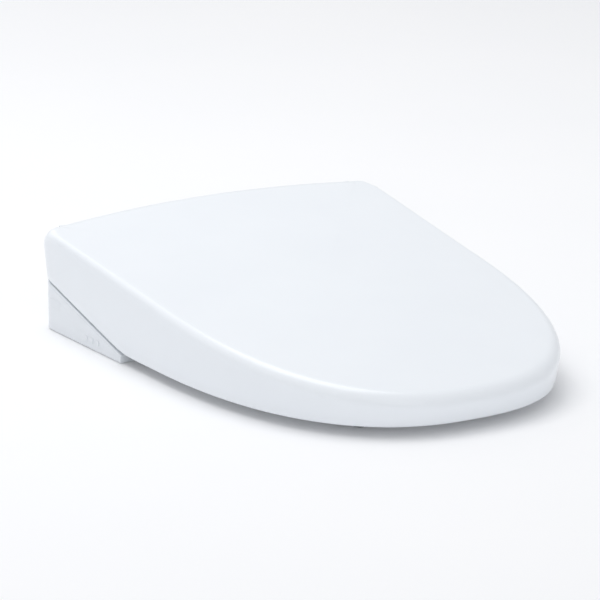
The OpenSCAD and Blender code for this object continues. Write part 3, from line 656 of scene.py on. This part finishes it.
def brushed(name, light, dark, rough, stretch):
    # metal with fine lines along one direction, about 1 mm apart
    made, tree, place = blank(name)
    run = addNode(tree, "ShaderNodeMapping", None, {"Vector": place, "Scale": stretch})
    lines = addNode(tree, "ShaderNodeTexNoise", None,
                    {"Vector": (run, "Vector"), "Scale": 60.0, "Detail": 5.0})
    tint = addNode(tree, "ShaderNodeMix", {"data_type": "RGBA"},
                   {0: (lines, "Fac"), 6: linear(light), 7: linear(dark)})
    gloss = addNode(tree, "ShaderNodeMapRange", None,
                    {"Value": (lines, "Fac"), "To Min": rough[0], "To Max": rough[1]})
    bump = addNode(tree, "ShaderNodeBump", None,
                   {"Height": (lines, "Fac"), "Strength": 0.15, "Distance": 0.05 * mm})
    finishShader(tree, (tint, 2), (gloss, "Result"), bump, Metallic=1.0)
    return made


def printed(name, base, track, rough, cell, metallic):
    # flat sheet with a printed or etched pattern of tracks; a row is a quarter of the texture's unit
    made, tree, place = blank(name)
    cells = addNode(tree, "ShaderNodeTexBrick", {"offset": 0.5},
                    {"Vector": place, "Scale": 1 / (cell * mm) / 4, "Color1": linear(base),
                     "Color2": linear(base), "Mortar": linear(track), "Mortar Size": 0.035})
    specks = addNode(tree, "ShaderNodeTexNoise", None, {"Vector": place, "Scale": 180.0})
    gloss = addNode(tree, "ShaderNodeMapRange", None,
                    {"Value": (specks, "Fac"), "To Min": rough[0], "To Max": rough[1]})
    bump = addNode(tree, "ShaderNodeBump", None,
                   {"Height": (cells, "Fac"), "Strength": 0.2, "Distance": 0.1 * mm})
    finishShader(tree, (cells, "Color"), (gloss, "Result"), bump, Metallic=metallic)
    return made


finishes = {
    # satin polypropylene from a fine tool: long soft highlights on a slightly cool white
    "white_gloss": moulded("moulded gloss polypropylene", "#F2F6FA", "#EDF1F6", (0.29, 0.35), 1.6, 0.012,
                           {"IOR": 1.49, "Coat Weight": 0.2, "Coat Roughness": 0.14}),
    # fine-textured ABS case: the same white with a calmer sheen
    "white_case": moulded("fine texture ABS", "#EBEFF3", "#E5E9EE", (0.3, 0.4), 0.9, 0.02, {"IOR": 1.53}),
    # uncoloured acetal and nylon parts inside the case: waxy, off-white
    "cream_plastic": moulded("natural acetal", "#DDDBD2", "#D2D0C6", (0.35, 0.5), 0.8, 0.03, {"IOR": 1.48}),
    # fibres near the surface leave it dull and slightly rough
    "dark_plastic": moulded("glass filled nylon", "#2A2C2F", "#1F2124", (0.45, 0.62), 0.5, 0.06,
                            {"IOR": 1.52}),
    # cast soft rubber: no clear highlight
    "grey_rubber": moulded("silicone rubber", "#8D9094", "#7F8286", (0.62, 0.78), 0.6, 0.05, {"IOR": 1.41}),
    # rolling lines stretch the highlights across them
    "steel": brushed("rolled stainless steel", "#C9CACC", "#AEB0B3", (0.24, 0.4), (1.0, 14.0, 14.0)),
    # lacquered green boards with their tracks drawn coarse
    "board": printed("solder masked glass epoxy", "#1B5A36", "#2F7D4F", (0.3, 0.42), 5.0, 0.0),
    # copper with etched gaps, drawn coarse
    "copper_film": printed("etched copper film", "#8C5A2C", "#D08A4E", (0.3, 0.45), 8.0, 0.6),
    # sandblasted lens: milky, with a broad highlight
    "lens": moulded("frosted polycarbonate", "#F2EFE2", "#E8E4D4", (0.42, 0.55), 0.6, 0.03, {"IOR": 1.58}),
    "led": moulded("diffused indicator lens", "#6FD084", "#58BC6E", (0.25, 0.35), 0.6, 0.02, {"IOR": 1.5}),
    # fired ceramic round the heating wires: dry and dusty
    "ceramic_grid": moulded("sintered heater ceramic", "#9C8F80", "#7E7265", (0.6, 0.8), 0.5, 0.08,
                            {"IOR": 1.6}),
}
slotOf = {part["node"]: part["material_slot"] for part in frame["record"]["subparts"]}


def dress(piece, slotName):
    piece.data.materials.clear()
    piece.data.materials.append(finishes[slotName])


for node, piece in frame["nodes"].items():
    dress(piece, slotOf[node])
for node, piece in softPieces.items():
    dress(piece, slotOf[node])
dress(lidCover, "white_gloss")
dress(ringCover, "white_gloss")
for node in ("seat_hinge_pins", "lid_hinge_pins", "wand_tube", "wand_motor", "lid_bumpers", "dryer_motor",
             "valve_motor", "case_screws"):
    smoothTo(frame["nodes"][node], edgeLook["smooth"])
print("stage 5: materials,", len(finishes))


# floor, light and camera

stage = dict(size=60, light="#F4F4F5", dark="#F0F1F3", rough=0.7, glow=0.06)


def buildStage():
    # matt paint on a faintly lit table, so that the floor stays paler than the object
    floorMat, tree, place = blank("matt painted studio floor")
    mottle = addNode(tree, "ShaderNodeTexNoise", None, {"Vector": place, "Scale": 3.0, "Detail": 2.0})
    tint = addNode(tree, "ShaderNodeMix", {"data_type": "RGBA"},
                   {0: (mottle, "Fac"), 6: linear(stage["light"]), 7: linear(stage["dark"])})
    glow = {"Emission Color": linear("#FFFFFF"), "Emission Strength": stage["glow"]}
    finishShader(tree, (tint, 2), stage["rough"], None, **glow)
    deselectAll()
    bpy.ops.mesh.primitive_plane_add(size=stage["size"], location=(0, 0, 0))
    floor = settle(bpy.context.active_object, "studioFloor")
    floor.data.materials.append(floorMat)


studio = dict(
    world=("#F6F7F9", 0.69), aim=(0, -0.2, 0.05),
    lamps=[("topSoftbox", (-0.35, 0.4, 2.4), 1.7, 26, "#FFFFFF"),
           ("rearSoftbox", (-0.3, 2.5, 1.6), 1.8, 7, "#FFFFFF"),
           ("frontSoftbox", (-0.9, -3.0, 1.3), 1.8, 7, "#FFFFFF")])


def buildLight():
    world = bpy.data.worlds.new("paleStudio")
    world.use_nodes = True
    back = world.node_tree.nodes["Background"]
    back.inputs["Color"].default_value = linear(studio["world"][0])
    back.inputs["Strength"].default_value = studio["world"][1]
    bpy.context.scene.world = world
    for name, place, size, power, colour in studio["lamps"]:
        deselectAll()
        bpy.ops.object.light_add(type="AREA", location=place)
        lamp = bpy.context.active_object
        lamp.name = name
        lamp.data.size = size
        lamp.data.energy = power
        lamp.data.color = linear(colour)[:3]
        aim = Vector(studio["aim"]) - Vector(place)
        lamp.rotation_euler = aim.to_track_quat("-Z", "Y").to_euler()


view = dict(azimuth=-30.3, elevation=17.0, distance=4.838, seenFrom=(-0.0717, -0.1486, -0.0139),
            aim=(-0.0087, -0.1623, 0.0514), lens=294, sensor=36)


def buildCamera():
    a, e = math.radians(view["azimuth"]), math.radians(view["elevation"])
    back = Vector((math.sin(a) * math.cos(e), -math.cos(a) * math.cos(e), math.sin(e)))
    spot = Vector(view["seenFrom"]) + back * view["distance"]
    deselectAll()
    bpy.ops.object.camera_add(location=spot)
    camera = bpy.context.active_object
    camera.name = "studioCamera"
    camera.rotation_euler = (Vector(view["aim"]) - spot).to_track_quat("-Z", "Y").to_euler()
    camera.data.lens = view["lens"]
    camera.data.sensor_width = view["sensor"]
    camera.data.clip_end = 100
    bpy.context.scene.camera = camera


buildStage()
buildLight()
buildCamera()
bpy.context.scene.view_settings.view_transform = "Standard"
print("stage 6: floor, light and camera")
